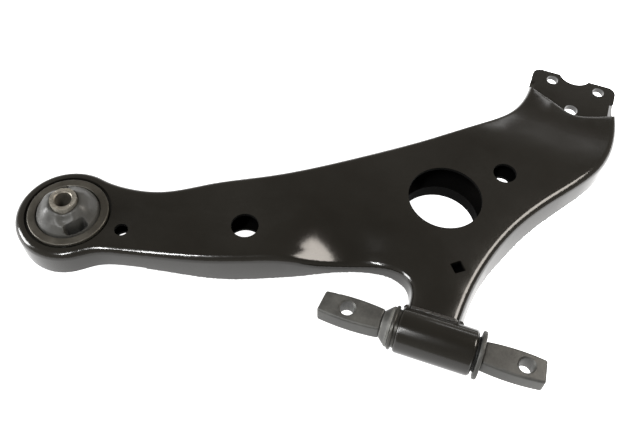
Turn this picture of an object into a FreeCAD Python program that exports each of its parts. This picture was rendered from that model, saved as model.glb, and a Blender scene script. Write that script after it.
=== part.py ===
import FreeCAD, Part
import math
import os

from FreeCAD import Placement, Rotation, Vector

# Left front lower control arm. Millimetres. +X runs forward from the rear bush to the bar pin,
# +Y outboard to the ball joint, +Z up. The origin is on the rear bush axis, level with the top plate.

# Sheet metal
SHEET = 3.0                 # thickness of both pressed shells
EDGE_R = 7.0                # outer bend radius round the top plate
NEST_GAP = 0.15             # lower shell's flange to the upper shell's wall
FLANGE_H = 8.0              # upturned flange of the lower shell
FLANGE_DROP = 3.4           # how far that flange stays under the top plate's inside, at least
PAD_Z = -15.0               # top of the ball-joint pad
FLOOR_Z = PAD_Z - SHEET - 0.2   # inside face of the lower shell at the pad
WALL_LAP = 1.2              # how far the upper wall reaches below the floor's inside face

# Rear bush and its eye
EYE_R = 46.2
COLLAR_R = 34.0
COLLAR_BOTTOM = -34.0
SLEEVE_R = 30.2
SLEEVE_BORE_R = 27.7
BUSH_RING_R = 35.0
BUSH_RING_TOP = 1.0
BUSH_RING_T = 2.8
BUSH_MID_Z = -21.0          # elastic centre, where the swing axis crosses the bush
BUSH_HALF_H = 22.0
INNER_HALF_H = 40.6
INNER_R = 11.5
INNER_BORE_R = 7.25
SERRATIONS = 28
VOID_ANGLE = -40.0
VOID_HALF_ANGLE = 25.0
VOID_OUTER_R = 26.0
VOID_INNER_R = 19.2
RECESS_R = 37.5
RECESS_Z = -3.5

# Front bush and bar pin, measured along the swing axis from the middle of the front tube
FRONT_X = 334.0
FRONT_Z = -5.5
SWING_TILT = math.degrees(math.atan2(FRONT_Z - BUSH_MID_Z, FRONT_X))
TUBE_R = 19.2
TUBE_T = 3.0
TUBE_END_R = 2.7
TUBE_FROM = -31.0
TUBE_TO = 33.0
BUSH_SHELL_T = 1.4
BUSH_FLANGE = (-36.0, -33.2)
BUSH_FLANGE_R = 18.6
PIN_R = 9.6
PADDLE_W = 19.8
PADDLE_T = 17.0
PADDLE_BOW = 1.8            # how far each side of a paddle bows out
PADDLE_SKEW = 0.9           # how far a paddle's end leans out at its near corner, and in at its far one
PADDLE_EDGE_R = 2.2
SHOULDER = 7.0              # length over which the round stem grows to the paddle's corners
SHOULDER_R = (12.0, 17.0)
PIN_HOLE_R = 6.2
PIN_HOLE_REAR = -75.0
PIN_HOLE_FRONT = 73.5
PIN_REAR_END = -97.5
PIN_FRONT_END = 89.5
CUP_FROM = -44.5
CUP_TO = -36.4
CUP_R = 17.0
DISC_FROM = 35.4
DISC_TO = 39.0
DISC_R = 20.0
MOVE_GAP = 0.3              # space between rubber and the steel that moves in it

# Ball-joint pad
TIP_Y = 356.5
EAR_HOLE_R = 6.0
EAR_HOLE_Y = 345.5
EAR_HOLE_SPACING = 49.0
PAD_MID_X = 400.5
INBOARD_HOLE = (401.5, 309.0)
INBOARD_HOLE_R = 6.7

# Holes in the shells: centre, radius in the top plate, radius in the lower shell
LIGHTENING_HOLES = [
    ((51.5, 0.5), 6.0, 12.5),
    ((149.0, 43.8), 12.2, 16.5),
    ((352.5, 187.9), 11.0, 10.5),
]
BIG_HOLE = (306.8, 139.6)
BIG_HOLE_R = 34.0
BIG_HOLE_LOWER_R = 37.2
BIG_HOLE_LIP_Z = -47.8
SQUARE_HOLE = (335.3, 71.2)
SQUARE_SIDE = 10.5

# Outer face of the side wall, seen from above. The eye's arc joins the first and last curves.
EYE_NEAR = math.radians(-52.0)
EYE_FAR = math.radians(80.0)
NECK_END_Y = 6.0
NEAR_EDGE = [(40, -28), (61, -20.5), (101, -10), (134, 0), (162, 11), (188, 21.5), (213, 31),
             (246.5, 47), (270, 54.3), (290, 53), (302, 43), (305.5, 28), (305.5, NECK_END_Y)]
# Front wall: x and y level with the top plate, and how far the wall leans out by SPLAY_DROP below it
FRONT_EDGE = [(349, NECK_END_Y, 4), (349.5, 28, 4), (352.5, 55.5, 3.2), (360, 91, 5.2), (374, 129.8, 7.4),
              (404.5, 180, 6.4), (437, 229, 3), (448, 272, 1), (446.5, 306, 0), (442.5, 335, 0)]
SPLAY_DROP = 20.0
FAR_EDGE = [(354.5, 335), (352.5, 305), (343.5, 279), (318.5, 248.5), (275, 206.5), (209.5, 151.5),
            (145, 104.5), (101, 77.5), (63, 52.5), (35, 45.2)]
TIP_RIGHT_X = 442.5
TIP_LEFT_X = 354.5
TIP_CORNER_R = 9.0
PAD_STEP = [(330, 322), (363, 309), (384, 298.5), (403, 290.5), (420, 294), (436, 301), (465, 316)]
SCALLOP = [(382.5, TIP_Y), (398, 347.3), (413.5, TIP_Y)]
STEP_CREST_Z = -5.0
STEP_CREST_R = 6.0          # rounding of the step's crest
STEP_SLOPE = 59.0           # steepest part of the step, in degrees
STEP_BANDS = 5
EAR_BEVEL_Y = (308.0, 335.0)    # stretch of the pad's sides that slopes down to the wall
EAR_BEVEL_FOOT_Z = -19.0
EAR_BEVEL_LEFT_X = 359.5
EAR_BEVEL_RIGHT_X = 438.5

GRID = 20.0                 # spacing of the points that the curved plates pass through
PLAN_BOX = (-80.0, -80.0, 480.0, 400.0)

# Weld beads along the shells' seam: a box round each stretch
BEAD = 2.2
TUBE_BEAD_R = 2.6
SEAM_STRETCHES = {
    "seam_weld_rear": (80, -60, -80, 296, 56, 0),
    "seam_weld_front": (358, 36, -80, 470, 296, 0),
    "seam_weld_outer": (80, 60, -80, 346, 300, 0),
}


def v(x, y, z=0.0):
    return Vector(x, y, z)


def smooth(value, start, end):
    """0 before start, 1 after end, with a smooth rise between them."""
    ratio = min(max((value - start) / (end - start), 0.0), 1.0)
    return ratio * ratio * (3.0 - 2.0 * ratio)


def dish(x, y, centre, half_x, half_y):
    """1 at the centre of an oval dish, falling smoothly to 0 at its rim."""
    rho = ((x - centre[0]) / half_x) ** 2 + ((y - centre[1]) / half_y) ** 2
    return (1.0 - rho) ** 2 if rho < 1.0 else 0.0


def top_height(x, y):
    """Height of the top plate: flat, scooped beside the inner arc, and falling to the pad."""
    scoop = 17.0 * dish(x, y, (256, 42), 74, 60)
    crown = 5.0 * smooth(y, 215, 285)
    return -scoop - crown


def floor_height(x, y):
    """Height of the lower shell's inside face: deeper mid-way, at the eye and round the big hole."""
    mid_span = 13.0 * math.exp(-((x - 160) / 65) ** 2) * (1.0 - smooth(x, 190, 240))
    eye = 7.5 * math.exp(-(x / 45) ** 2)
    pan = 26.0 * dish(x, y, BIG_HOLE, 80, 78)
    arch = 6.5 * dish(x, y, (272, 40), 95, 75)
    return FLOOR_Z - mid_span - eye - pan - arch


def height_surface(height, shift=0.0):
    """B-spline sheet through a grid of points at the given height function, moved by shift."""
    x0, y0, x1, y1 = PLAN_BOX
    columns = int((x1 - x0) / GRID) + 1
    rows = int((y1 - y0) / GRID) + 1
    points = []
    for i in range(columns):
        x = x0 + i * GRID
        points.append([v(x, y0 + j * GRID, height(x, y0 + j * GRID) + shift) for j in range(rows)])
    surface = Part.BSplineSurface()
    surface.interpolate(points)
    return surface.toShape()


def below(height, shift=0.0):
    """Solid from the height surface down to well under the arm."""
    return height_surface(height, shift).extrude(v(0, 0, -90))


def above(height, shift=0.0):
    """Solid from the height surface up to well over the arm."""
    return height_surface(height, shift).extrude(v(0, 0, 90))


def spline_through(points, start=None, end=None):
    """B-spline through points, its parameter the running distance, with unit end directions."""
    vectors = [v(x, y) for x, y in points]
    distances = [0.0]
    for a, b in zip(vectors, vectors[1:]):
        distances.append(distances[-1] + a.distanceToPoint(b))
    spline = Part.BSplineCurve()
    if start is None:
        spline.interpolate(Points=vectors, Parameters=distances)
    else:
        spline.interpolate(Points=vectors, Parameters=distances, InitialTangent=start,
                           FinalTangent=end, Scale=False)
    return spline, distances


def curve(points, start, end, inset):
    """Smooth edge beside the curve through points, moved to its left by inset."""
    spline, distances = spline_through(points, start, end)
    moved = []
    for (x, y), distance in zip(points, distances):
        tangent = spline.tangent(distance)[0]
        moved.append((x - tangent.y * inset, y + tangent.x * inset))
    return spline_through(moved, start, end)[0].toShape()


def arc(a, b, c):
    return Part.Arc(v(*a), v(*b), v(*c)).toShape()


def line(a, b):
    return Part.LineSegment(v(*a), v(*b)).toShape()


def on_eye(angle, inset=0.0):
    radius = EYE_R - inset
    return (radius * math.cos(angle), radius * math.sin(angle))


def along_eye(angle):
    """Direction of travel round the eye, against the clock."""
    return v(-math.sin(angle), math.cos(angle))


def outline(inset, z):
    """Closed wire of the side wall's outer face at height z, moved inwards by inset."""
    near = [on_eye(EYE_NEAR)] + NEAR_EDGE
    front = [(x - splay * z / SPLAY_DROP, y) for x, y, splay in FRONT_EDGE]
    far = FAR_EDGE + [on_eye(EYE_FAR)]
    left = TIP_LEFT_X + inset
    right = TIP_RIGHT_X - inset
    top = TIP_Y - inset
    r = TIP_CORNER_R - inset
    bulge = r * (1 - math.sqrt(0.5))
    eye_back = on_eye((EYE_NEAR + EYE_FAR) / 2 + math.pi, inset)
    edges = [
        curve(near, along_eye(EYE_NEAR), v(0, -1), inset),
        line((NEAR_EDGE[-1][0] + inset, NECK_END_Y), (front[0][0] - inset, NECK_END_Y)),
        curve(front, v(0, 1), v(0, 1), inset),
        line((right, front[-1][1]), (right, top - r)),
        arc((right, top - r), (right - bulge, top - bulge), (right - r, top)),
        line((right - r, top), (left + r, top)),
        arc((left + r, top), (left + bulge, top - bulge), (left, top - r)),
        line((left, top - r), (left, FAR_EDGE[0][1])),
        curve(far, v(0, -1), along_eye(EYE_FAR), inset),
        arc(on_eye(EYE_FAR, inset), eye_back, on_eye(EYE_NEAR, inset)),
    ]
    wire = Part.Wire(edges)
    wire.translate(v(0, 0, z))
    return wire


def plan_prism(inset, z0=-55.0, z1=12.0):
    """The outline moved inwards by inset, as a solid from z0 to z1, its front wall leaning out."""
    return Part.makeLoft([outline(inset, z0), outline(inset, z1)], True, True)


def rim_edges(solid, height, shift):
    """Edges of the solid's perimeter that lie on the height surface, apart from the neck's open end."""
    found = []
    for edge in solid.Edges:
        middle = edge.valueAt((edge.FirstParameter + edge.LastParameter) / 2)
        on_surface = abs(middle.z - height(middle.x, middle.y) - shift) < 0.6
        neck_end = middle.y < 16 and middle.x > 290
        if on_surface and not neck_end:
            found.append(edge)
    return found


def step_wire(shift, z):
    """Closed wire outboard of the pad's step at height z, the step moved outboard by shift."""
    points = [(x, y + shift) for x, y in PAD_STEP]
    wire = Part.Wire([
        spline_through(points)[0].toShape(),
        line(points[-1], (points[-1][0], 400)),
        line((points[-1][0], 400), (points[0][0], 400)),
        line((points[0][0], 400), points[0]),
    ])
    wire.translate(v(0, 0, z))
    return wire


def step_profile():
    """(outboard shift, height) pairs down the step: its crest rounded, then a straight slope to the pad."""
    profile = [(-4.0, STEP_CREST_Z + 6.0), (-1.5, STEP_CREST_Z + 0.35)]
    for i in range(STEP_BANDS + 1):
        angle = math.radians(STEP_SLOPE * i / STEP_BANDS)
        drop = STEP_CREST_R * (1 - math.cos(angle))
        profile.append((STEP_CREST_R * math.sin(angle), STEP_CREST_Z - drop))
    shift, z = profile[-1]
    profile.append((shift + (z - PAD_Z) / math.tan(math.radians(STEP_SLOPE)), PAD_Z))
    return profile


def pad_region(drop):
    """Everything over the ball-joint pad, outboard of its step, lowered and moved inboard by drop."""
    wires = [step_wire(shift - drop, z - drop) for shift, z in reversed(step_profile())]
    return Part.makeLoft(wires, True, True)


def cylinder(centre, radius, z0, z1):
    return Part.makeCylinder(radius, z1 - z0, v(centre[0], centre[1], z0))


def box(x0, y0, z0, x1, y1, z1):
    return Part.makeBox(x1 - x0, y1 - y0, z1 - z0, v(x0, y0, z0))


def ring(r_in, r_out, z0, z1):
    outer = cylinder((0, 0), r_out, z0, z1)
    return outer.cut(cylinder((0, 0), r_in, z0 - 1, z1 + 1))


def along_swing(shape):
    """Places a shape built round the local X axis on the swing axis, at the front tube."""
    moved = shape.copy()
    moved.Placement = Placement(v(FRONT_X, 0, FRONT_Z), Rotation(v(0, 1, 0), -SWING_TILT))
    return moved


def rod(radius, x0, x1):
    return Part.makeCylinder(radius, x1 - x0, v(x0, 0, 0), v(1, 0, 0))


def tube(r_in, r_out, x0, x1):
    return rod(r_out, x0, x1).cut(rod(r_in, x0 - 1, x1 + 1))


def turned(profile, axis):
    """Solid of revolution of a closed profile of (along, radius) points about Z or X."""
    if axis == "z":
        points = [v(r, 0, a) for a, r in profile]
        direction = v(0, 0, 1)
    else:
        points = [v(a, r, 0) for a, r in profile]
        direction = v(1, 0, 0)
    face = Part.Face(Part.makePolygon(points + points[:1]))
    return face.revolve(v(0, 0, 0), direction, 360)


def ear_holes():
    half = EAR_HOLE_SPACING / 2
    return [(PAD_MID_X - half, EAR_HOLE_Y), (PAD_MID_X + half, EAR_HOLE_Y)]


def pad_cutters():
    """Bolt holes and the scallop between the two ears, through both sheets."""
    cutters = [cylinder(c, EAR_HOLE_R, -60, 20) for c in ear_holes()]
    cutters.append(cylinder(INBOARD_HOLE, INBOARD_HOLE_R, -60, 20))
    left, middle, right = SCALLOP
    scallop = Part.Face(Part.Wire([arc(left, middle, right), line(right, left)]))
    scallop.translate(v(0, 0, -60))
    cutters.append(scallop.extrude(v(0, 0, 90)))
    return cutters


def square_cutter():
    """Square locating hole, turned on its corner, through the top plate only."""
    hole = box(-SQUARE_SIDE / 2, -SQUARE_SIDE / 2, -8, SQUARE_SIDE / 2, SQUARE_SIDE / 2, 10)
    hole = hole.makeFillet(1.2, [e for e in hole.Edges if abs(e.Vertexes[0].Z - e.Vertexes[-1].Z) > 5])
    hole.Placement = Placement(v(*SQUARE_HOLE), Rotation(v(0, 0, 1), 40))
    return hole


def tube_clearance(gap=0.1):
    return along_swing(rod(TUBE_R + gap, -60, 60))


def ear_bevel(x_top, x_foot, x_far):
    """Wedge that slopes one side of the pad from x_top down to x_foot at the wall."""
    z_over = PAD_Z + 3.0
    y0, y1 = EAR_BEVEL_Y
    corners = [(x_top, z_over), (x_top, PAD_Z), (x_foot, EAR_BEVEL_FOOT_Z), (x_far, EAR_BEVEL_FOOT_Z),
               (x_far, z_over)]
    face = Part.Face(Part.makePolygon([v(x, y0, z) for x, z in corners + corners[:1]]))
    return face.extrude(v(0, y1 - y0, 0))


def ear_bevels():
    return [
        ear_bevel(EAR_BEVEL_LEFT_X, TIP_LEFT_X - 0.5, TIP_LEFT_X - 20),
        ear_bevel(EAR_BEVEL_RIGHT_X, TIP_RIGHT_X + 0.5, TIP_RIGHT_X + 20),
    ]


def upper_mould(inset, drop):
    """Solid under the top plate: the plan moved in by inset, its top lowered by drop, edge rounded."""
    solid = plan_prism(inset).common(below(top_height, -drop)).Solids[0]
    return solid.makeFillet(EDGE_R - drop, rim_edges(solid, top_height, -drop))


def lower_mould(inset, lift, radius):
    """Solid over the floor: the plan moved in by inset, its bottom raised by lift, edge rounded."""
    solid = plan_prism(inset).common(above(floor_height, lift)).Solids[0]
    return solid.makeFillet(radius, rim_edges(solid, floor_height, lift))


def upper_shell():
    outer = upper_mould(0.0, 0.0).cut(pad_region(0.0))
    inner = upper_mould(SHEET, SHEET).cut(pad_region(SHEET))
    outer = outer.cut(cylinder((0, 0), RECESS_R, RECESS_Z, 20))
    inner = inner.cut(cylinder((0, 0), RECESS_R + SHEET, RECESS_Z - SHEET, 20))
    shell = outer.cut(inner)
    shell = shell.common(above(floor_height, -WALL_LAP))
    cutters = [cylinder((0, 0), COLLAR_R + 0.05, -60, 20), tube_clearance(), square_cutter()]
    cutters += [cylinder(centre, radius, -14, 20) for centre, radius, lower in LIGHTENING_HOLES]
    cutters += [cylinder(BIG_HOLE, BIG_HOLE_R, -14, 20)]
    cutters += pad_cutters() + ear_bevels()
    return shell.cut(cutters)


def lower_shell(outer):
    """The nested lower pressing, cut from its outer mould, with a lip round the big hole."""
    inner = lower_mould(SHEET + NEST_GAP + SHEET, 0.0, 1.2)
    shell = outer.common(below(floor_height, FLANGE_H)).cut(inner)
    shell = shell.common(below(top_height, -SHEET - FLANGE_DROP))
    shell = shell.cut(box(-80, -80, PAD_Z - SHEET - 0.15, 500, 400, 30))
    lip = cylinder(BIG_HOLE, BIG_HOLE_LOWER_R + SHEET, BIG_HOLE_LIP_Z, -25)
    shell = shell.fuse(lip.common(below(floor_height, -0.5)))
    cutters = [cylinder((0, 0), COLLAR_R + 0.05, -60, 20), tube_clearance()]
    cutters += [cylinder(centre, lower, -60, 20) for centre, radius, lower in LIGHTENING_HOLES]
    cutters += [cylinder(BIG_HOLE, BIG_HOLE_LOWER_R, -60, 20)]
    cutters += pad_cutters()
    return shell.cut(cutters)


def seam_beads(lower_outer):
    """Three weld beads under the upper wall's edge, in the corner with the lower shell."""
    band = plan_prism(0.3).cut(plan_prism(SHEET + 2.0))
    band = band.common(above(floor_height, -WALL_LAP - BEAD))
    band = band.common(below(floor_height, -WALL_LAP - 0.05)).cut(lower_outer)
    return {name: band.common(box(*corners)) for name, corners in SEAM_STRETCHES.items()}


def rear_eye_collar():
    collar = ring(SLEEVE_R + 0.02, COLLAR_R, COLLAR_BOTTOM, BUSH_RING_TOP - BUSH_RING_T)
    bottom = [edge for edge in collar.Edges if edge.BoundBox.ZMax < COLLAR_BOTTOM + 0.1]
    return collar.makeChamfer(0.8, bottom)


def eye_weld():
    """Fillet bead round the collar, under the lower shell."""
    foot = COLLAR_BOTTOM + 1.2
    profile = [(foot, COLLAR_R + 0.05), (-20, COLLAR_R + 0.05), (-20, COLLAR_R + 12),
               (foot, COLLAR_R + 0.8)]
    return turned(profile, "z").cut(above(floor_height, -SHEET - 0.05))


def front_tube():
    """Tube across the neck, with both outer ends rounded in."""
    shape = tube(TUBE_R - TUBE_T, TUBE_R, TUBE_FROM, TUBE_TO)
    rims = [edge for edge in shape.Edges if edge.BoundBox.YLength > 2 * TUBE_R - 0.1
            and edge.BoundBox.XLength < 0.1]
    return along_swing(shape.makeFillet(TUBE_END_R, rims))


def bead_along(angle, x0, x1, radius=TUBE_BEAD_R):
    """Straight bead on the tube's skin, at an angle from +Y towards +Z, from x0 to x1."""
    reach = TUBE_R + 0.5
    y = reach * math.cos(angle)
    z = reach * math.sin(angle)
    bead = Part.makeCylinder(radius, x1 - x0, v(x0, y, z), v(1, 0, 0))
    bead = bead.fuse([Part.makeSphere(radius, v(x, y, z)) for x in (x0, x1)])
    return along_swing(bead.removeSplitter()).cut(tube_clearance(0.02))


def bead_round(x, start, end, radius=TUBE_BEAD_R):
    """Curved bead on the tube's skin at x, between two angles from +Y towards +Z."""
    reach = TUBE_R + 0.5
    circle = Part.Wire(Part.makeCircle(radius, v(x, reach, 0), v(0, 0, 1)))
    face = Part.Face(circle)
    face.rotate(v(0, 0, 0), v(1, 0, 0), start)
    return along_swing(face.revolve(v(0, 0, 0), v(1, 0, 0), end - start)).cut(tube_clearance(0.02))


def neck_walls():
    """Solid that the neck's shells fill beside the tube, kept clear of the weld beads."""
    return plan_prism(-0.05).common(below(top_height, 0.05)).common(
        above(floor_height, -SHEET - 0.05))


def tube_beads():
    """Four beads that close the joint of the neck and the tube."""
    neck = neck_walls()
    front_x = FRONT_EDGE[0][0] + FRONT_EDGE[0][2] / 4
    half = (front_x - NEAR_EDGE[-1][0]) / 2
    middle = (front_x + NEAR_EDGE[-1][0]) / 2 - FRONT_X
    return {
        "tube_weld_top": bead_along(math.radians(20), middle - half + 5, middle + half - 5).cut(neck),
        "tube_weld_bottom": bead_along(math.radians(-60), middle - half + 6, middle + half - 6).cut(neck),
        "tube_weld_rear": bead_round(middle - half - 0.6, -42, 16).cut(neck),
        "tube_weld_front": bead_round(middle + half + 0.6, -42, 16).cut(neck),
    }


def rear_bush_outer_sleeve():
    """Flanged steel shell of the rear bush, with a rounded ring."""
    z0 = BUSH_MID_Z - BUSH_HALF_H
    z1 = BUSH_RING_TOP - BUSH_RING_T
    profile = [(z0, SLEEVE_BORE_R), (BUSH_RING_TOP, SLEEVE_BORE_R), (BUSH_RING_TOP, BUSH_RING_R),
               (z1, BUSH_RING_R), (z1, SLEEVE_R), (z0, SLEEVE_R)]
    sleeve = turned(profile, "z")
    top = [edge for edge in sleeve.Edges if edge.BoundBox.ZMin > BUSH_RING_TOP - 0.01]
    return sleeve.makeFillet(1.1, top)


def rear_bush_rubber():
    """Moulded rubber, bulging out of both ends of its sleeve, with two kidney-shaped voids."""
    core = INNER_R + MOVE_GAP
    skin = SLEEVE_BORE_R - 0.02
    half = BUSH_HALF_H - 0.6
    crown = INNER_HALF_H - 4.2
    upper = [(half - 2.4, skin), (half + 2.5, skin - 1.6), (half + 8.2, skin - 6.2),
             (half + 12.4, skin - 11.2), (crown - 0.6, core + 2.4), (crown, core + 1.2), (crown, core)]
    lower = [(-along, radius) for along, radius in reversed(upper)]
    profile = [(BUSH_MID_Z + along, radius) for along, radius in upper + lower]
    rubber = turned(profile, "z")
    return rubber.cut([kidney_void(VOID_ANGLE), kidney_void(VOID_ANGLE + 180)])


def kidney_void(angle):
    """Curved slot through the rubber, centred on an angle from +X."""
    turns = [math.radians(angle + turn) for turn in (-VOID_HALF_ANGLE, 0.0, VOID_HALF_ANGLE)]
    outer = [(VOID_OUTER_R * math.cos(a), VOID_OUTER_R * math.sin(a)) for a in turns]
    inner = [(VOID_INNER_R * math.cos(a), VOID_INNER_R * math.sin(a)) for a in turns]
    face = Part.Face(Part.Wire([
        arc(*outer),
        line(outer[2], inner[2]),
        arc(*reversed(inner)),
        line(inner[0], outer[0]),
    ]))
    face.translate(v(0, 0, BUSH_MID_Z - 60))
    slot = face.extrude(v(0, 0, 120))
    return slot.makeFillet(2.2, [edge for edge in slot.Edges if edge.BoundBox.ZLength > 100])


def rear_bush_inner_sleeve():
    """Thick sleeve for the mounting bolt, with serrated end faces."""
    z0 = BUSH_MID_Z - INNER_HALF_H
    z1 = BUSH_MID_Z + INNER_HALF_H
    sleeve = ring(INNER_BORE_R, INNER_R, z0, z1)
    bore_rims = [edge for edge in sleeve.Edges if edge.BoundBox.XLength < 2 * INNER_BORE_R + 0.1
                 and edge.BoundBox.ZLength < 0.1]
    sleeve = sleeve.makeChamfer(0.9, bore_rims)
    grooves = []
    for z in (z0, z1):
        for i in range(SERRATIONS):
            tooth = Part.makeBox(6, 0.7, 0.7, v(8.6, 0, -0.35))
            tooth.rotate(v(8.6, 0, 0), v(1, 0, 0), 45)
            tooth.rotate(v(0, 0, 0), v(0, 0, 1), 360.0 * i / SERRATIONS)
            tooth.translate(v(0, 0, z))
            grooves.append(tooth)
    return sleeve.cut(grooves)


def front_bush_sleeve():
    """Pressed-in steel shell of the front bush, with a flange outside the tube's rear end."""
    r_out = TUBE_R - TUBE_T - 0.02
    r_in = r_out - BUSH_SHELL_T
    shell = tube(r_in, r_out, BUSH_FLANGE[0] + 0.5, TUBE_TO - 1.0)
    flange = tube(r_in, BUSH_FLANGE_R, BUSH_FLANGE[0], BUSH_FLANGE[1])
    rims = [edge for edge in flange.Edges if edge.BoundBox.YLength > 2 * BUSH_FLANGE_R - 0.1
            and edge.BoundBox.XLength < 0.1]
    return along_swing(shell.fuse(flange.makeFillet(1.1, rims)).removeSplitter())


def front_bush_rubber():
    """Rubber round the pin, with a lip against the cup and a thick lip against the stop disc."""
    core = PIN_R + MOVE_GAP
    skin = TUBE_R - TUBE_T - BUSH_SHELL_T - 0.05
    face = DISC_FROM - MOVE_GAP
    back = CUP_TO + MOVE_GAP + 0.4
    profile = [(back, core), (face, core), (face, skin + 0.4), (TUBE_TO + 0.6, skin - 0.8),
               (TUBE_TO - 1.0, skin), (BUSH_FLANGE[0] + 0.8, skin), (back, skin - 1.5)]
    return along_swing(turned(profile, "x"))


def end_cup():
    """Conical shoulder between the rear paddle and the front bush."""
    bore = PIN_R + 0.02
    profile = [(CUP_FROM, bore), (CUP_TO, bore), (CUP_TO, CUP_R), (CUP_TO - 1.8, CUP_R),
               (CUP_FROM, bore + 1.6)]
    return along_swing(turned(profile, "x"))


def stop_disc():
    disc = tube(PIN_R + 0.02, DISC_R, DISC_FROM, DISC_TO)
    rims = [edge for edge in disc.Edges if edge.BoundBox.YLength > 2 * DISC_R - 0.1
            and edge.BoundBox.XLength < 0.1]
    return along_swing(disc.makeFillet(1.2, rims))


def paddle(tip, root, slope):
    """Flat forged end of the bar pin with bowed sides, shouldered down to the round stem at its root."""
    side = PADDLE_W / 2
    middle = (tip + root) / 2
    near_tip = tip + slope * PADDLE_SKEW
    far_tip = tip - slope * PADDLE_SKEW
    face = Part.Face(Part.Wire([
        arc((near_tip, -side), (middle, -side - PADDLE_BOW), (root, -side)),
        line((root, -side), (root, side)),
        arc((root, side), (middle, side + PADDLE_BOW), (far_tip, side)),
        line((far_tip, side), (near_tip, -side)),
    ]))
    face.translate(v(0, 0, -PADDLE_T / 2))
    blank = face.extrude(v(0, 0, PADDLE_T))
    blank = blank.makeFillet(PADDLE_EDGE_R, blank.Edges)
    end = root + slope * SHOULDER
    cone = Part.makeCone(*SHOULDER_R, SHOULDER, v(root, 0, 0), v(slope, 0, 0))
    beyond = Part.makeCylinder(SHOULDER_R[1], abs(tip - root) + 5, v(end, 0, 0), v(slope, 0, 0))
    return blank.common(cone.fuse(beyond))


def pin_hole(x):
    """Bolt hole across a paddle, countersunk on both faces."""
    half = PADDLE_T / 2
    hole = Part.makeCylinder(PIN_HOLE_R, 40, v(x, 0, -20))
    top = Part.makeCone(PIN_HOLE_R, PIN_HOLE_R + 3, 3, v(x, 0, half - 1.3))
    bottom = Part.makeCone(PIN_HOLE_R, PIN_HOLE_R + 3, 3, v(x, 0, 1.3 - half), v(0, 0, -1))
    return hole.fuse([top, bottom])


def bar_pin():
    """Forged pin: a round stem through the front bush and a drilled paddle at each end."""
    stem = rod(PIN_R, CUP_FROM, DISC_TO)
    rear = paddle(PIN_REAR_END, CUP_FROM, -1)
    front = paddle(PIN_FRONT_END, DISC_TO, 1)
    pin = stem.fuse([rear, front]).cut([pin_hole(PIN_HOLE_REAR), pin_hole(PIN_HOLE_FRONT)])
    return along_swing(pin)


def main():
    os.makedirs("parts", exist_ok=True)
    lower_outer = lower_mould(SHEET + NEST_GAP, -SHEET, 4.0)
    parts = {
        "upper_shell": upper_shell(),
        "lower_shell": lower_shell(lower_outer),
        "rear_eye_collar": rear_eye_collar(),
        "rear_eye_weld": eye_weld(),
        "front_tube": front_tube(),
        "rear_bush_outer_sleeve": rear_bush_outer_sleeve(),
        "rear_bush_rubber": rear_bush_rubber(),
        "rear_bush_inner_sleeve": rear_bush_inner_sleeve(),
        "front_bush_sleeve": front_bush_sleeve(),
        "front_bush_rubber": front_bush_rubber(),
        "bar_pin": bar_pin(),
        "end_cup": end_cup(),
        "stop_disc": stop_disc(),
    }
    parts.update(seam_beads(lower_outer))
    parts.update(tube_beads())
    for name, shape in parts.items():
        print(name, len(shape.Solids), shape.isValid(), round(shape.Volume))
        shape.exportStep(os.path.join("parts", name + ".step"))


if __name__ == "__main__":
    main()
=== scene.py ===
"""Looks of a stamped lower control arm: two black-painted pressings, a vertical rear bush and a bar pin."""

import logging
import math
from dataclasses import dataclass, field
from enum import Enum

import bpy
from mathutils import Matrix, Vector


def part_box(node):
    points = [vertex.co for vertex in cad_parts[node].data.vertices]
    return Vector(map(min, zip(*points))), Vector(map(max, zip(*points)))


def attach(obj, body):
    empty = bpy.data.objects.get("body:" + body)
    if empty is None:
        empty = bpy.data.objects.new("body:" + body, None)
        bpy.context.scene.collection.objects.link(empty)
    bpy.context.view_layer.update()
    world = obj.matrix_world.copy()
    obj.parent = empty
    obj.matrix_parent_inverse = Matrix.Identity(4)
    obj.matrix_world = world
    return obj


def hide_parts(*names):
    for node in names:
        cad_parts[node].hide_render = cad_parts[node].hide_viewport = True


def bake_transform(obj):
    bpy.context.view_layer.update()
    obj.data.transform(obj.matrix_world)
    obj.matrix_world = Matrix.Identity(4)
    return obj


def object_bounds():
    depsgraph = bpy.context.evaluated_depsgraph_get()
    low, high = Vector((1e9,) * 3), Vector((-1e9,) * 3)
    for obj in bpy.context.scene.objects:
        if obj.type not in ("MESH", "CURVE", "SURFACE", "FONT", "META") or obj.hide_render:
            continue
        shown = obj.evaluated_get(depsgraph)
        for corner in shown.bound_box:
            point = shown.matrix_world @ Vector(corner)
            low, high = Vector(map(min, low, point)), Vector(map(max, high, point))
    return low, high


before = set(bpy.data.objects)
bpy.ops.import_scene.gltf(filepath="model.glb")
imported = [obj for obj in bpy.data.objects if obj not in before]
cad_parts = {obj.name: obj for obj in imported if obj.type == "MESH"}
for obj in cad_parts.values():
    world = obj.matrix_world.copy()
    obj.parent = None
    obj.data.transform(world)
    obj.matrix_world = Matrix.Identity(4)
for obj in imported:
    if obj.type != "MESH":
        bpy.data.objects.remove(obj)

CAD_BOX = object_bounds()
MM = 0.001

logging.basicConfig(level=logging.INFO, format="%(message)s")
LOG = logging.getLogger("control_arm")

Colour = tuple[float, float, float]
Point = tuple[float, float, float]


class Slot(Enum):
    """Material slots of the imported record."""

    PAINT = "black_paint"
    WELD = "painted_weld"
    BUSH_STEEL = "bush_steel"
    SLEEVE_STEEL = "sleeve_steel"
    RUBBER = "rubber"
    FORGED = "forged_steel"


class Body(Enum):
    """Rigid bodies of the arm."""

    ARM = "arm"
    PIN = "bar_pin"
    REAR_SLEEVE = "rear_sleeve"


# ---------------------------------------------------------------------------------------------
# Node helpers
# ---------------------------------------------------------------------------------------------


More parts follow.
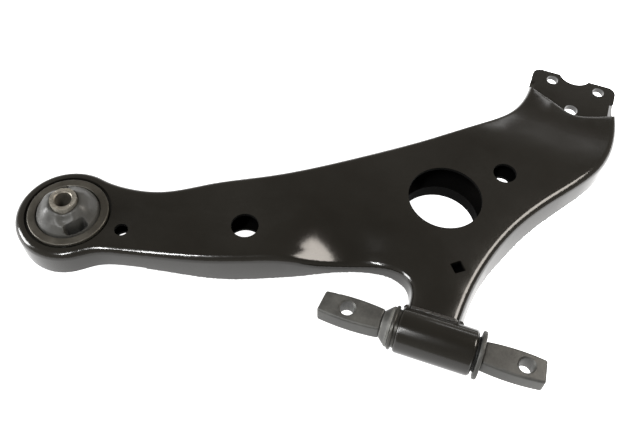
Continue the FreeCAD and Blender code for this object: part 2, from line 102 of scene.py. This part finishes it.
@dataclass
class Graph:
    """A node tree with short calls to add and join nodes."""

    tree: bpy.types.NodeTree
    column: int = 0

    def add(self, kind: str, **values: object) -> bpy.types.Node:
        """Adds a node and sets its properties and inputs.

        Args:
            kind: Blender's name of the node type.
            values: property names of the node, or input names with underscores for spaces.

        Returns:
            The new node.
        """
        node = self.tree.nodes.new(kind)
        node.location = (self.column * 180.0, 0.0)
        self.column += 1
        for name, value in values.items():
            if hasattr(node, name):
                setattr(node, name, value)
            else:
                node.inputs[name.replace("_", " ")].default_value = value
        return node

    def join(self, start: bpy.types.NodeSocket, end: bpy.types.NodeSocket) -> None:
        """Links an output socket to an input socket."""
        self.tree.links.new(start, end)

    def math(self, operation: str, first: object, second: object = 0.0) -> bpy.types.NodeSocket:
        """Adds a Math node.

        Args:
            operation: the Math node's operation.
            first: a socket or a number.
            second: a socket or a number.

        Returns:
            The result socket.
        """
        node = self.tree.nodes.new("ShaderNodeMath")
        node.operation = operation
        for socket, value in zip(node.inputs, (first, second)):
            if isinstance(value, (int, float)):
                socket.default_value = value
            else:
                self.join(value, socket)
        return node.outputs[0]

    def blend(self, share: object, low: object, high: object) -> bpy.types.NodeSocket:
        """Mixes two colours.

        Args:
            share: socket that is 0 for low and 1 for high.
            low: a colour socket or three numbers.
            high: a colour socket or three numbers.

        Returns:
            The mixed colour socket.
        """
        node = self.tree.nodes.new("ShaderNodeMix")
        node.data_type = "RGBA"
        self.join(share, node.inputs["Factor"])
        for name, value in (("A", low), ("B", high)):
            socket = next(s for s in node.inputs if s.name == name and s.type == "RGBA")
            if isinstance(value, tuple):
                socket.default_value = (*value, 1.0)
            else:
                self.join(value, socket)
        return next(s for s in node.outputs if s.type == "RGBA")

    def spread(self, share: bpy.types.NodeSocket, low: float, high: float) -> bpy.types.NodeSocket:
        """Maps a mask of 0 to 1 onto the range low to high.

        Args:
            share: the mask.
            low: result where the mask is 0.
            high: result where the mask is 1.

        Returns:
            The mapped value socket.
        """
        node = self.add("ShaderNodeMapRange", To_Min=low, To_Max=high)
        self.join(share, node.inputs["Value"])
        return node.outputs["Result"]


@dataclass
class EffectGroup:
    """A shader node group with named sockets, built once and shared by the finishes."""

    name: str
    inputs: dict[str, tuple[str, object]]
    outputs: dict[str, str]
    tree: bpy.types.NodeTree = field(init=False)
    graph: Graph = field(init=False)
    entry: bpy.types.Node = field(init=False)
    leave: bpy.types.Node = field(init=False)

    def __post_init__(self) -> None:
        """Makes the empty group with its sockets."""
        self.tree = bpy.data.node_groups.new(self.name, "ShaderNodeTree")
        for name, (kind, value) in self.inputs.items():
            socket = self.tree.interface.new_socket(name=name, in_out="INPUT", socket_type=kind)
            socket.default_value = value
        for name, kind in self.outputs.items():
            self.tree.interface.new_socket(name=name, in_out="OUTPUT", socket_type=kind)
        self.graph = Graph(self.tree)
        self.entry = self.graph.add("NodeGroupInput")
        self.leave = self.graph.add("NodeGroupOutput")

    def place(self, graph: Graph, **values: float) -> bpy.types.Node:
        """Puts the group into a material.

        Args:
            graph: the material's graph.
            values: input values, with underscores for spaces.

        Returns:
            The group node.
        """
        node = graph.add("ShaderNodeGroup", node_tree=self.tree)
        for name, value in values.items():
            node.inputs[name.replace("_", " ")].default_value = value
        return node


class Effects:
    """The shared surface effects: mottling, paint texture, edge rub with painted edge highlight and turning
    marks.
    """

    def __init__(self) -> None:
        """Builds every group."""
        self.mottle = self.make_mottle()
        self.skin = self.make_skin()
        self.edge = self.make_edge()
        self.turning = self.make_turning()

    @staticmethod
    def make_mottle() -> EffectGroup:
        """Cloudy mask of 0 to 1 in two sizes, for dust, oxide and tone.

        Returns:
            The group, with inputs Size and Contrast and output Mask.
        """
        group = EffectGroup(
            "mottle",
            {"Size": ("NodeSocketFloat", 40.0), "Contrast": ("NodeSocketFloat", 1.0)},
            {"Mask": "NodeSocketFloat"},
        )
        g = group.graph
        place = g.add("ShaderNodeTexCoord")
        broad = g.add("ShaderNodeTexNoise", Detail=4.0, Roughness=0.55)
        g.join(place.outputs["Object"], broad.inputs["Vector"])
        g.join(group.entry.outputs["Size"], broad.inputs["Scale"])
        fine = g.add("ShaderNodeTexNoise", Detail=3.0, Roughness=0.6)
        g.join(place.outputs["Object"], fine.inputs["Vector"])
        g.join(g.math("MULTIPLY", group.entry.outputs["Size"], 7.0), fine.inputs["Scale"])
        both = g.math("ADD", g.math("MULTIPLY", broad.outputs["Fac"], 0.72),
                      g.math("MULTIPLY", fine.outputs["Fac"], 0.28))
        centred = g.math("MULTIPLY", g.math("SUBTRACT", both, 0.5), group.entry.outputs["Contrast"])
        lifted = g.math("ADD", g.math("MULTIPLY", centred, 3.0), 0.5)
        held = g.math("MINIMUM", g.math("MAXIMUM", lifted, 0.0), 1.0)
        g.join(held, group.leave.inputs["Mask"])
        return group

    @staticmethod
    def make_skin() -> EffectGroup:
        """Fine surface height: a pebbly film with sparse specks.

        Returns:
            The group, with inputs Pebble, Speck and Specks and output Height.
        """
        group = EffectGroup(
            "film_texture",
            {"Pebble": ("NodeSocketFloat", 500.0), "Speck": ("NodeSocketFloat", 900.0),
             "Specks": ("NodeSocketFloat", 0.4)},
            {"Height": "NodeSocketFloat"},
        )
        g = group.graph
        place = g.add("ShaderNodeTexCoord")
        pebble = g.add("ShaderNodeTexNoise", Detail=2.0)
        g.join(place.outputs["Object"], pebble.inputs["Vector"])
        g.join(group.entry.outputs["Pebble"], pebble.inputs["Scale"])
        speck = g.add("ShaderNodeTexVoronoi")
        g.join(place.outputs["Object"], speck.inputs["Vector"])
        g.join(group.entry.outputs["Speck"], speck.inputs["Scale"])
        dot = g.math("MAXIMUM", g.math("SUBTRACT", 0.16, speck.outputs["Distance"]), 0.0)
        raised = g.math("MULTIPLY", g.math("MULTIPLY", dot, 4.0), group.entry.outputs["Specks"])
        g.join(g.math("ADD", pebble.outputs["Fac"], raised), group.leave.inputs["Height"])
        return group

    @staticmethod
    def make_edge() -> EffectGroup:
        """Mask of outer edges, broken up by noise, for rubbed wear and a painted edge highlight.

        Returns:
            The group, with input Amount and output Mask.
        """
        group = EffectGroup(
            "edge_rub_and_highlight", {"Amount": ("NodeSocketFloat", 1.0)}, {"Mask": "NodeSocketFloat"}
        )
        g = group.graph
        geometry = g.add("ShaderNodeNewGeometry")
        sharp = g.add("ShaderNodeMapRange", From_Min=0.52, From_Max=0.62)
        g.join(geometry.outputs["Pointiness"], sharp.inputs["Value"])
        place = g.add("ShaderNodeTexCoord")
        noise = g.add("ShaderNodeTexNoise", Scale=260.0, Detail=3.0)
        g.join(place.outputs["Object"], noise.inputs["Vector"])
        broken = g.math("MULTIPLY", sharp.outputs["Result"], noise.outputs["Fac"])
        g.join(g.math("MULTIPLY", broken, group.entry.outputs["Amount"]), group.leave.inputs["Mask"])
        return group

    @staticmethod
    def make_turning() -> EffectGroup:
        """Fine grooves left by a lathe or a press, in rings round the local X or Z axis.

        Returns:
            The group, with inputs Centre, Turn and Fineness and outputs Height and Mask.
        """
        group = EffectGroup(
            "turning_marks",
            {"Centre": ("NodeSocketVector", (0.0, 0.0, 0.0)), "Turn": ("NodeSocketVector", (0.0, 0.0, 0.0)),
             "Fineness": ("NodeSocketFloat", 900.0)},
            {"Height": "NodeSocketFloat", "Mask": "NodeSocketFloat"},
        )
        g = group.graph
        place = g.add("ShaderNodeTexCoord")
        moved = g.add("ShaderNodeVectorMath", operation="SUBTRACT")
        g.join(place.outputs["Object"], moved.inputs[0])
        g.join(group.entry.outputs["Centre"], moved.inputs[1])
        turned = g.add("ShaderNodeVectorRotate", rotation_type="EULER_XYZ")
        g.join(moved.outputs[0], turned.inputs["Vector"])
        g.join(group.entry.outputs["Turn"], turned.inputs["Rotation"])
        parts = g.add("ShaderNodeSeparateXYZ")
        g.join(turned.outputs[0], parts.inputs[0])
        x, y, z = parts.outputs
        radius = g.math("SQRT", g.math("ADD", g.math("MULTIPLY", x, x), g.math("MULTIPLY", y, y)))
        line = g.add("ShaderNodeCombineXYZ")
        g.join(g.math("MULTIPLY", radius, group.entry.outputs["Fineness"]), line.inputs["X"])
        g.join(g.math("MULTIPLY", z, group.entry.outputs["Fineness"]), line.inputs["Y"])
        g.join(g.math("MULTIPLY", g.math("ARCTAN2", y, x), 1.5), line.inputs["Z"])
        noise = g.add("ShaderNodeTexNoise", Scale=1.0, Detail=2.0)
        g.join(line.outputs[0], noise.inputs["Vector"])
        g.join(noise.outputs["Fac"], group.leave.inputs["Height"])
        g.join(g.spread(noise.outputs["Fac"], -0.6, 1.6), group.leave.inputs["Mask"])
        return group


# ---------------------------------------------------------------------------------------------
# Finishes
# ---------------------------------------------------------------------------------------------


@dataclass(frozen=True)
class Finish:
    """A procedural surface: two tones in a cloudy mix, a varying gloss and a fine relief."""

    name: str
    slot: Slot
    tone: Colour
    second_tone: Colour
    roughness: tuple[float, float]
    metallic: float = 0.0
    mottle_size: float = 40.0
    contrast: float = 1.0
    relief: float = 0.05
    pebble: float = 500.0
    speck: float = 900.0
    specks: float = 0.4
    coat: float = 0.0
    coat_roughness: float = 0.2
    specular: float = 0.5
    # Lighter colour on outer edges: partly rubbed wear, partly a painted highlight along the edges.
    edge_rub_and_highlight_tone: Colour | None = None
    edge_rub_and_highlight_amount: float = 1.0
    turning_centre: Point | None = None
    turning_turn: Point = (0.0, 0.0, 0.0)
    turning_share: float = 0.3
    fineness: float = 900.0

    def material(self, effects: Effects) -> bpy.types.Material:
        """Builds the node material.

        Args:
            effects: the shared effect groups.

        Returns:
            The material.
        """
        made = bpy.data.materials.new(self.name)
        made.use_nodes = True
        made.node_tree.nodes.clear()
        g = Graph(made.node_tree)
        shader = g.add("ShaderNodeBsdfPrincipled")
        out = g.add("ShaderNodeOutputMaterial")
        g.join(shader.outputs[0], out.inputs["Surface"])
        shader.inputs["Metallic"].default_value = self.metallic
        shader.inputs["Specular IOR Level"].default_value = self.specular
        shader.inputs["Coat Weight"].default_value = self.coat
        shader.inputs["Coat Roughness"].default_value = self.coat_roughness
        cloud = effects.mottle.place(g, Size=self.mottle_size, Contrast=self.contrast)
        colour = g.blend(cloud.outputs["Mask"], self.tone, self.second_tone)
        gloss = g.spread(cloud.outputs["Mask"], *self.roughness)
        skin = effects.skin.place(g, Pebble=self.pebble, Speck=self.speck, Specks=self.specks)
        height = skin.outputs["Height"]
        # Outer edges lightened: rubbed wear and painted edge highlight.
        if self.edge_rub_and_highlight_tone is not None:
            rub_and_highlight = effects.edge.place(g, Amount=self.edge_rub_and_highlight_amount)
            colour = g.blend(rub_and_highlight.outputs["Mask"], colour, self.edge_rub_and_highlight_tone)
        if self.turning_centre is not None:
            marks = effects.turning.place(g, Fineness=self.fineness)
            marks.inputs["Centre"].default_value = self.turning_centre
            marks.inputs["Turn"].default_value = self.turning_turn
            height = g.math("ADD", height, g.math("MULTIPLY", marks.outputs["Height"], 2.0))
            share = g.math("MULTIPLY", marks.outputs["Mask"], self.turning_share)
            colour = g.blend(share, colour, self.second_tone)
        bump = g.add("ShaderNodeBump", Strength=self.relief, Distance=0.4 * MM)
        g.join(height, bump.inputs["Height"])
        g.join(colour, shader.inputs["Base Color"])
        g.join(gloss, shader.inputs["Roughness"])
        g.join(bump.outputs["Normal"], shader.inputs["Normal"])
        return made


@dataclass
class Paintshop:
    """Every finish of the arm, built on first use."""

    effects: Effects = field(default_factory=Effects)
    made: dict[str, bpy.types.Material] = field(default_factory=dict)

    def material(self, finish: Finish) -> bpy.types.Material:
        """The finish's material, made once."""
        if finish.name not in self.made:
            self.made[finish.name] = finish.material(self.effects)
        return self.made[finish.name]

    def dress(self, piece: bpy.types.Object, finish: Finish) -> None:
        """Gives a piece its finish.

        Args:
            piece: the piece to dress.
            finish: the finish to put on it.
        """
        piece.data.materials.clear()
        piece.data.materials.append(self.material(finish))


# Its edge colour adds a faint painted highlight along the pressings' edges and hole rims.
BLACK_PAINT = Finish(
    "black_dip_paint", Slot.PAINT, (0.0085, 0.0076, 0.006), (0.0125, 0.0115, 0.0095), (0.13, 0.18),
    mottle_size=9.0, contrast=0.8, relief=0.05, pebble=420.0, specks=0.5, specular=0.5,
    edge_rub_and_highlight_tone=(0.04, 0.04, 0.038), edge_rub_and_highlight_amount=0.15,
)
# Painted shade: a near-black, dull colour for the faces inside the box and the holes' cut walls, standing
# for the shade there.
CAVITY_PAINTED_SHADE = Finish(
    "painted_shade_inside_the_box", Slot.PAINT, (0.0012, 0.0011, 0.001), (0.002, 0.0019, 0.0018), (0.75, 0.9),
    mottle_size=20.0, relief=0.05, specular=0.05,
)
WELD_PAINT = Finish(
    "painted_weld_bead", Slot.WELD, (0.014, 0.013, 0.012), (0.035, 0.033, 0.03), (0.22, 0.4),
    mottle_size=160.0, contrast=1.1, relief=0.25, pebble=900.0, specks=1.0,
)
RING_STEEL = Finish(
    "phosphated_ring", Slot.BUSH_STEEL, (0.042, 0.038, 0.031), (0.085, 0.079, 0.066), (0.34, 0.5),
    metallic=0.55, mottle_size=60.0, relief=0.08, edge_rub_and_highlight_tone=(0.2, 0.19, 0.165), edge_rub_and_highlight_amount=0.8,
    turning_centre=(0.0, 0.0, 0.0), turning_share=0.35,
)
# Its pale edge colour paints the bright highlight lines on the flange's rims.
DARK_STEEL = Finish(
    "oiled_flange_steel", Slot.BUSH_STEEL, (0.03, 0.029, 0.026), (0.06, 0.058, 0.052), (0.25, 0.4),
    metallic=0.6, mottle_size=90.0, relief=0.08, edge_rub_and_highlight_tone=(0.3, 0.29, 0.27), edge_rub_and_highlight_amount=1.0,
)
SLEEVE_STEEL = Finish(
    "bare_sleeve_steel", Slot.SLEEVE_STEEL, (0.12, 0.11, 0.091), (0.22, 0.203, 0.172), (0.36, 0.5),
    metallic=0.7, mottle_size=110.0, relief=0.1, edge_rub_and_highlight_tone=(0.6, 0.57, 0.5), edge_rub_and_highlight_amount=0.8,
)
RUBBER = Finish(
    "moulded_rubber", Slot.RUBBER, (0.026, 0.0257, 0.024), (0.054, 0.0535, 0.049), (0.36, 0.5),
    mottle_size=55.0, contrast=0.8, relief=0.12, pebble=700.0, specks=0.3, specular=0.5,
)
BLACK_RUBBER = Finish(
    "black_lip_rubber", Slot.RUBBER, (0.009, 0.009, 0.0085), (0.016, 0.016, 0.015), (0.5, 0.65),
    mottle_size=80.0, relief=0.1, pebble=900.0,
)
PIN_STEEL = Finish(
    "forged_pin_steel", Slot.FORGED, (0.042, 0.042, 0.04), (0.078, 0.078, 0.073), (0.44, 0.58),
    metallic=0.45, mottle_size=75.0, contrast=1.0, relief=0.25, pebble=650.0, specks=1.0,
    edge_rub_and_highlight_tone=(0.33, 0.33, 0.31), edge_rub_and_highlight_amount=0.7,
)


# ---------------------------------------------------------------------------------------------
# Mesh helpers
# ---------------------------------------------------------------------------------------------


def pick_none() -> None:
    """Deselects everything."""
    bpy.ops.object.select_all(action="DESELECT")


def pick(obj: bpy.types.Object) -> None:
    """Deselects everything, then selects one object and makes it active."""
    pick_none()
    obj.select_set(True)
    bpy.context.view_layer.objects.active = obj


def edit(obj: bpy.types.Object, mode: str = "VERT") -> None:
    """Opens an object in edit mode with everything selected.

    Args:
        obj: the object to edit.
        mode: VERT, EDGE or FACE.
    """
    pick(obj)
    bpy.ops.object.mode_set(mode="EDIT")
    bpy.ops.mesh.select_mode(type=mode)
    bpy.ops.mesh.select_all(action="SELECT")


def leave_edit() -> None:
    """Goes back to object mode."""
    bpy.ops.object.mode_set(mode="OBJECT")


def apply_modifier(obj: bpy.types.Object, kind: str, **settings: object) -> None:
    """Adds a modifier, sets it and applies it.

    Args:
        obj: the object.
        kind: the modifier's type.
        settings: its properties.
    """
    pick(obj)
    modifier = obj.modifiers.new(kind.lower(), kind)
    for name, value in settings.items():
        setattr(modifier, name, value)
    bpy.ops.object.modifier_apply(modifier=modifier.name)


def shade(obj: bpy.types.Object, degrees: float = 32.0) -> None:
    """Shades an object smooth, with hard edges where faces meet at more than the angle."""
    pick(obj)
    bpy.ops.object.shade_smooth_by_angle(angle=math.radians(degrees))


def settle(obj: bpy.types.Object) -> None:
    """Puts an object's place, turn and scale into its mesh."""
    pick(obj)
    bpy.ops.object.transform_apply(location=True, rotation=True, scale=True)


def cad_copy(node: str, name: str, degrees: float = 32.0) -> bpy.types.Object:
    """A merged, smoothly shaded copy of a CAD node, standing for that node.

    Args:
        node: the CAD node's name.
        name: the piece's name.
        degrees: angle past which an edge stays hard.

    Returns:
        The new piece.
    """
    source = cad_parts[node]
    piece = bpy.data.objects.new(name, source.data.copy())
    bpy.context.scene.collection.objects.link(piece)
    pick(piece)
    if piece.data.has_custom_normals:
        bpy.ops.mesh.customdata_custom_splitnormals_clear()
    edit(piece)
    bpy.ops.mesh.remove_doubles(threshold=0.002 * MM)
    leave_edit()
    shade(piece, degrees)
    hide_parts(node)
    return piece


def seat(piece: bpy.types.Object, body: Body, finish: Finish, shop: Paintshop) -> None:
    """Dresses a finished piece and lets it move with a body."""
    shop.dress(piece, finish)
    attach(piece, body.value)
    LOG.info("%s: %d faces on %s", piece.name, len(piece.data.polygons), body.value)


# ---------------------------------------------------------------------------------------------
# Sub-assemblies
# ---------------------------------------------------------------------------------------------


@dataclass
class PressedArm:
    """The two nested pressings, the collar in the eye and the tube across the neck.

    Each entry of holes is one punched hole: the x and y of its centre and its radius.
    """

    shop: Paintshop
    inside_normal: float = 0.2
    flange: float = 2.0 * MM
    holes: tuple[tuple[float, float, float], ...] = (
        (0.0515, 0.0005, 0.0125),
        (0.149, 0.0438, 0.0165),
        (0.3525, 0.1879, 0.011),
        (0.3068, 0.1396, 0.0372),
    )

    def build(self) -> None:
        """Makes the painted steel pieces."""
        for node in ("upper_shell", "lower_shell", "rear_eye_collar", "front_tube"):
            piece = cad_copy(node, node + "_painted")
            seat(piece, Body.ARM, BLACK_PAINT, self.shop)
            # Second slot: painted shade for faces inside the box and in the holes.
            piece.data.materials.append(self.shop.material(CAVITY_PAINTED_SHADE))
            for face in piece.data.polygons:
                if self.is_inside(node, face):
                    face.material_index = 1

    def is_inside(self, node: str, face: bpy.types.MeshPolygon) -> bool:
        """Whether a face looks into the box or into a punched hole, where the colour is darkened as painted
        shade.

        Args:
            node: the CAD node the face comes from.
            face: the face.

        Returns:
            True for a face of the lower pressing that looks up, and for a lightening hole's cut wall.
        """
        near_hole = any(math.hypot(face.center.x - x, face.center.y - y) < radius + self.flange
                        for x, y, radius in self.holes)
        if node == "lower_shell":
            return face.normal.z > (-self.inside_normal if near_hole else self.inside_normal)
        return node == "upper_shell" and near_hole and abs(face.normal.z) < self.inside_normal


@dataclass
class WeldBeads:
    """Arc-weld beads along the shells' seam, round the collar and round the tube.

    The lump fields give the size and height of the ripples and the level they rise from.
    """

    shop: Paintshop
    voxel: float = 0.4 * MM
    lump_size: float = 2.6 * MM
    lump_height: float = 0.7 * MM
    lump_level: float = 0.62

    def build(self) -> None:
        """Makes every bead."""
        lumps = bpy.data.textures.new("weld_lumps", "CLOUDS")
        lumps.noise_scale = self.lump_size
        lumps.noise_depth = 1
        for node in sorted(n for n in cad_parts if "weld" in n):
            piece = cad_copy(node, node + "_bead", 60.0)
            apply_modifier(piece, "REMESH", mode="VOXEL", voxel_size=self.voxel, use_smooth_shade=True)
            apply_modifier(piece, "DISPLACE", texture=lumps, texture_coords="LOCAL",
                           strength=self.lump_height, mid_level=self.lump_level)
            apply_modifier(piece, "SMOOTH", factor=0.5, iterations=2)
            seat(piece, Body.ARM, WELD_PAINT, self.shop)


@dataclass
class RearBush:
    """Vertical bush of the rear eye: flanged sleeve, moulded rubber and serrated inner sleeve.

    Lobes and grooves are spots on the rubber's dome, by angle from +X and distance from the axis.
    The lean heights, meant as where the rubber stops following the ring and where it follows the sleeve,
    are not used.
    """

    shop: Paintshop
    voxel: float = 0.6 * MM
    lobe_angles: tuple[float, ...] = (-132.0, 4.0, 52.0, 176.0)
    lobe_radius: float = 19.0 * MM
    lobe_rise: float = 2.6 * MM
    lobe_reach: float = 12.0 * MM
    groove_angles: tuple[float, ...] = (-64.0, 118.0)
    groove_depth: float = 3.2 * MM
    groove_radius: float = 17.0 * MM
    groove_reach: float = 9.0 * MM
    lean_from: float = -1.0 * MM
    lean_to: float = 15.0 * MM

    def build(self) -> None:
        """Makes the flanged ring, the two rubber mouldings and the inner sleeve."""
        seat(cad_copy("rear_bush_outer_sleeve", "rear_bush_ring", 40.0), Body.ARM, RING_STEEL, self.shop)
        seat(cad_copy("rear_bush_inner_sleeve", "rear_bush_serrated_sleeve", 25.0), Body.REAR_SLEEVE,
             SLEEVE_STEEL, self.shop)
        self.rubber()

    def rubber(self) -> None:
        """Moulds the rubber with lobes and grooves, and cuts it at mid height into two pieces."""
        low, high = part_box("rear_bush_rubber")
        middle = (low.z + high.z) / 2
        whole = cad_copy("rear_bush_rubber", "rear_bush_rubber_upper")
        apply_modifier(whole, "REMESH", mode="VOXEL", voxel_size=self.voxel, use_smooth_shade=True)
        apply_modifier(whole, "SMOOTH", factor=0.5, iterations=8)
        for side in (1.0, -1.0):
            for angle in self.lobe_angles:
                self.pull(whole, angle, self.lobe_radius, middle, side, self.lobe_rise, self.lobe_reach)
            for angle in self.groove_angles:
                self.pull(whole, angle, self.groove_radius, middle, side, -self.groove_depth,
                          self.groove_reach)
        lower = bpy.data.objects.new("rear_bush_rubber_lower", whole.data.copy())
        bpy.context.scene.collection.objects.link(lower)
        for piece, side in ((whole, 1.0), (lower, -1.0)):
            edit(piece)
            bpy.ops.mesh.bisect(plane_co=(0.0, 0.0, middle), plane_no=(0.0, 0.0, side), clear_inner=True,
                                use_fill=True)
            leave_edit()
            shade(piece, 50.0)
            self.shop.dress(piece, RUBBER)
            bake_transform(piece)
            LOG.info("%s: %d faces", piece.name, len(piece.data.polygons))

    @staticmethod
    def pull(piece: bpy.types.Object, angle: float, radius: float, middle: float, side: float,
             rise: float, reach: float) -> None:
        """Pulls the rubber's dome up or down round one spot, fading out with distance.

        Args:
            piece: the rubber.
            angle: direction of the spot from +X, in degrees.
            radius: distance of the spot from the bush axis.
            middle: height of the bush's middle.
            side: 1 for the upper dome, -1 for the lower one.
            rise: how far the spot moves outwards along the axis.
            reach: radius of the patch that moves with it.
        """
        a = math.radians(angle)
        spot = Vector((radius * math.cos(a), radius * math.sin(a)))
        near = [v for v in piece.data.vertices if (v.co.xy - spot).length < MM]
        if not near:
            return
        top = max(near, key=lambda v: (v.co.z - middle) * side).index
        edit(piece)
        bpy.ops.mesh.select_all(action="DESELECT")
        leave_edit()
        piece.data.vertices[top].select = True
        bpy.ops.object.mode_set(mode="EDIT")
        bpy.ops.transform.translate(value=(0.0, 0.0, rise * side), use_proportional_edit=True,
                                    proportional_edit_falloff="SMOOTH", proportional_size=reach)
        leave_edit()


@dataclass
class FrontBush:
    """Horizontal bush in the tube: flanged sleeve and the rubber with its thick end lip."""

    shop: Paintshop
    voxel: float = 0.5 * MM

    def build(self) -> None:
        """Makes the flanged sleeve and the rubber with its end lip."""
        seat(cad_copy("front_bush_sleeve", "front_bush_flanged_sleeve", 40.0), Body.ARM, DARK_STEEL,
             self.shop)
        piece = cad_copy("front_bush_rubber", "front_bush_rubber_moulding", 50.0)
        apply_modifier(piece, "REMESH", mode="VOXEL", voxel_size=self.voxel, use_smooth_shade=True)
        apply_modifier(piece, "SMOOTH", factor=0.5, iterations=3)
        self.shop.dress(piece, BLACK_RUBBER)
        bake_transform(piece)
        LOG.info("%s: %d faces", piece.name, len(piece.data.polygons))


@dataclass
class BarPin:
    """Forged bar pin with drilled paddles, its conical cup and its stop disc."""

    shop: Paintshop

    def build(self) -> None:
        """Makes the three pieces."""
        seat(cad_copy("bar_pin", "bar_pin_forging"), Body.PIN, PIN_STEEL, self.shop)
        seat(cad_copy("end_cup", "bar_pin_cup"), Body.PIN, PIN_STEEL, self.shop)
        seat(cad_copy("stop_disc", "bar_pin_stop_disc"), Body.PIN, PIN_STEEL, self.shop)


# ---------------------------------------------------------------------------------------------
# Studio
# ---------------------------------------------------------------------------------------------


@dataclass
class Lamp:
    """A soft rectangular light."""

    name: str
    place: Point
    aim: Point
    size: tuple[float, float]
    power: float
    colour: Colour = (1.0, 1.0, 1.0)

    def build(self) -> None:
        """Adds the light, facing its aim."""
        data = bpy.data.lights.new(self.name, "AREA")
        data.color = self.colour
        data.shape = "RECTANGLE"
        data.size, data.size_y = self.size
        data.energy = self.power
        lamp = bpy.data.objects.new(self.name, data)
        bpy.context.scene.collection.objects.link(lamp)
        lamp.location = self.place
        lamp.rotation_mode = "QUATERNION"
        lamp.rotation_quaternion = (Vector(self.aim) - Vector(self.place)).to_track_quat("-Z", "Y")


@dataclass
class Studio:
    """White table, soft lights, a dim surround and the camera.

    The table glows by the two strengths of glow, below and above the band of x + glow_turn * y.
    """

    lens: float = 41.27
    camera_place: Point = (0.30849, -0.27811, 0.53812)
    camera_right: Point = (0.9398, 0.3386, 0.0465)
    camera_down: Point = (0.3039, -0.7655, -0.5671)
    table_size: float = 8.0
    glow: tuple[float, float] = (1.12, 2.9)
    glow_band: tuple[float, float] = (0.38, 0.52)
    glow_turn: float = 0.6
    zenith: float = 0.09
    horizon: float = 0.55
    lamps: tuple[Lamp, ...] = (
        Lamp("front_softbox", (0.0, -0.62, 1.1), (0.1, 0.0, 0.0), (0.08, 0.52), 10.5),
        Lamp("window", (-0.95, -0.36, 0.42), (0.0, 0.0, 0.0), (0.5, 0.5), 18.0),
        Lamp("right_softbox", (0.87, 0.47, 0.9), (0.2, 0.05, 0.0), (0.56, 0.48), 10.5, (1.0, 0.93, 0.85)),
        Lamp("pad_softbox", (0.57, 1.6, 0.72), (0.4, 0.33, 0.0), (0.6, 0.16), 0.9),
    )

    def table(self) -> None:
        """Adds the pale light table under the lowest point of the arm, brighter beside the front wall."""
        low = CAD_BOX[0].z
        pick_none()
        bpy.ops.mesh.primitive_plane_add(size=self.table_size, location=(0.2, 0.1, low - 0.0005))
        top = bpy.context.active_object
        top.name = "table"
        settle(top)
        made = bpy.data.materials.new("white_table")
        made.use_nodes = True
        made.node_tree.nodes.clear()
        g = Graph(made.node_tree)
        shader = g.add("ShaderNodeBsdfPrincipled", Roughness=0.6)
        shader.inputs["Base Color"].default_value = (0.3, 0.3, 0.3, 1.0)
        shader.inputs["Emission Color"].default_value = (1.0, 1.0, 1.0, 1.0)
        g.join(shader.outputs[0], g.add("ShaderNodeOutputMaterial").inputs["Surface"])
        place = g.add("ShaderNodeTexCoord")
        parts = g.add("ShaderNodeSeparateXYZ")
        g.join(place.outputs["Object"], parts.inputs[0])
        across = g.math("ADD", parts.outputs["X"], g.math("MULTIPLY", parts.outputs["Y"], self.glow_turn))
        rise = g.add("ShaderNodeMapRange", From_Min=self.glow_band[0], From_Max=self.glow_band[1],
                     To_Min=self.glow[0], To_Max=self.glow[1])
        g.join(across, rise.inputs["Value"])
        g.join(rise.outputs["Result"], shader.inputs["Emission Strength"])
        top.data.materials.append(made)

    def surround(self) -> None:
        """Sets the surround: dim overhead and paler towards the horizon."""
        world = bpy.data.worlds.new("studio")
        bpy.context.scene.world = world
        world.use_nodes = True
        g = Graph(world.node_tree)
        back = world.node_tree.nodes["Background"]
        back.inputs["Color"].default_value = (1.0, 0.95, 0.87, 1.0)
        place = g.add("ShaderNodeTexCoord")
        parts = g.add("ShaderNodeSeparateXYZ")
        g.join(place.outputs["Generated"], parts.inputs[0])
        rise = g.math("MINIMUM", g.math("MAXIMUM", parts.outputs["Z"], 0.0), 1.0)
        g.join(g.spread(g.math("POWER", rise, 0.7), self.horizon, self.zenith), back.inputs["Strength"])

    def camera(self) -> None:
        """Adds the camera."""
        data = bpy.data.cameras.new("camera")
        data.lens = self.lens
        data.sensor_width = 36.0
        data.clip_start = 0.01
        data.dof.use_dof = False
        camera = bpy.data.objects.new("camera", data)
        bpy.context.scene.collection.objects.link(camera)
        right = Vector(self.camera_right).normalized()
        back = right.cross(-Vector(self.camera_down)).normalized()
        up = back.cross(right)
        turn = Matrix((right, up, back)).transposed().to_4x4()
        camera.matrix_world = Matrix.Translation(self.camera_place) @ turn
        bpy.context.scene.camera = camera

    def build(self) -> None:
        """Sets up the whole studio."""
        self.table()
        self.surround()
        self.camera()
        for lamp in self.lamps:
            lamp.build()
        bpy.context.scene.view_settings.view_transform = "Standard"


def main() -> None:
    """Builds the arm's looks and the studio, in order."""
    shop = Paintshop()
    for assembly in (PressedArm(shop), WeldBeads(shop), RearBush(shop), FrontBush(shop), BarPin(shop)):
        assembly.build()
    Studio().build()


if __name__ == "__main__":
    main()
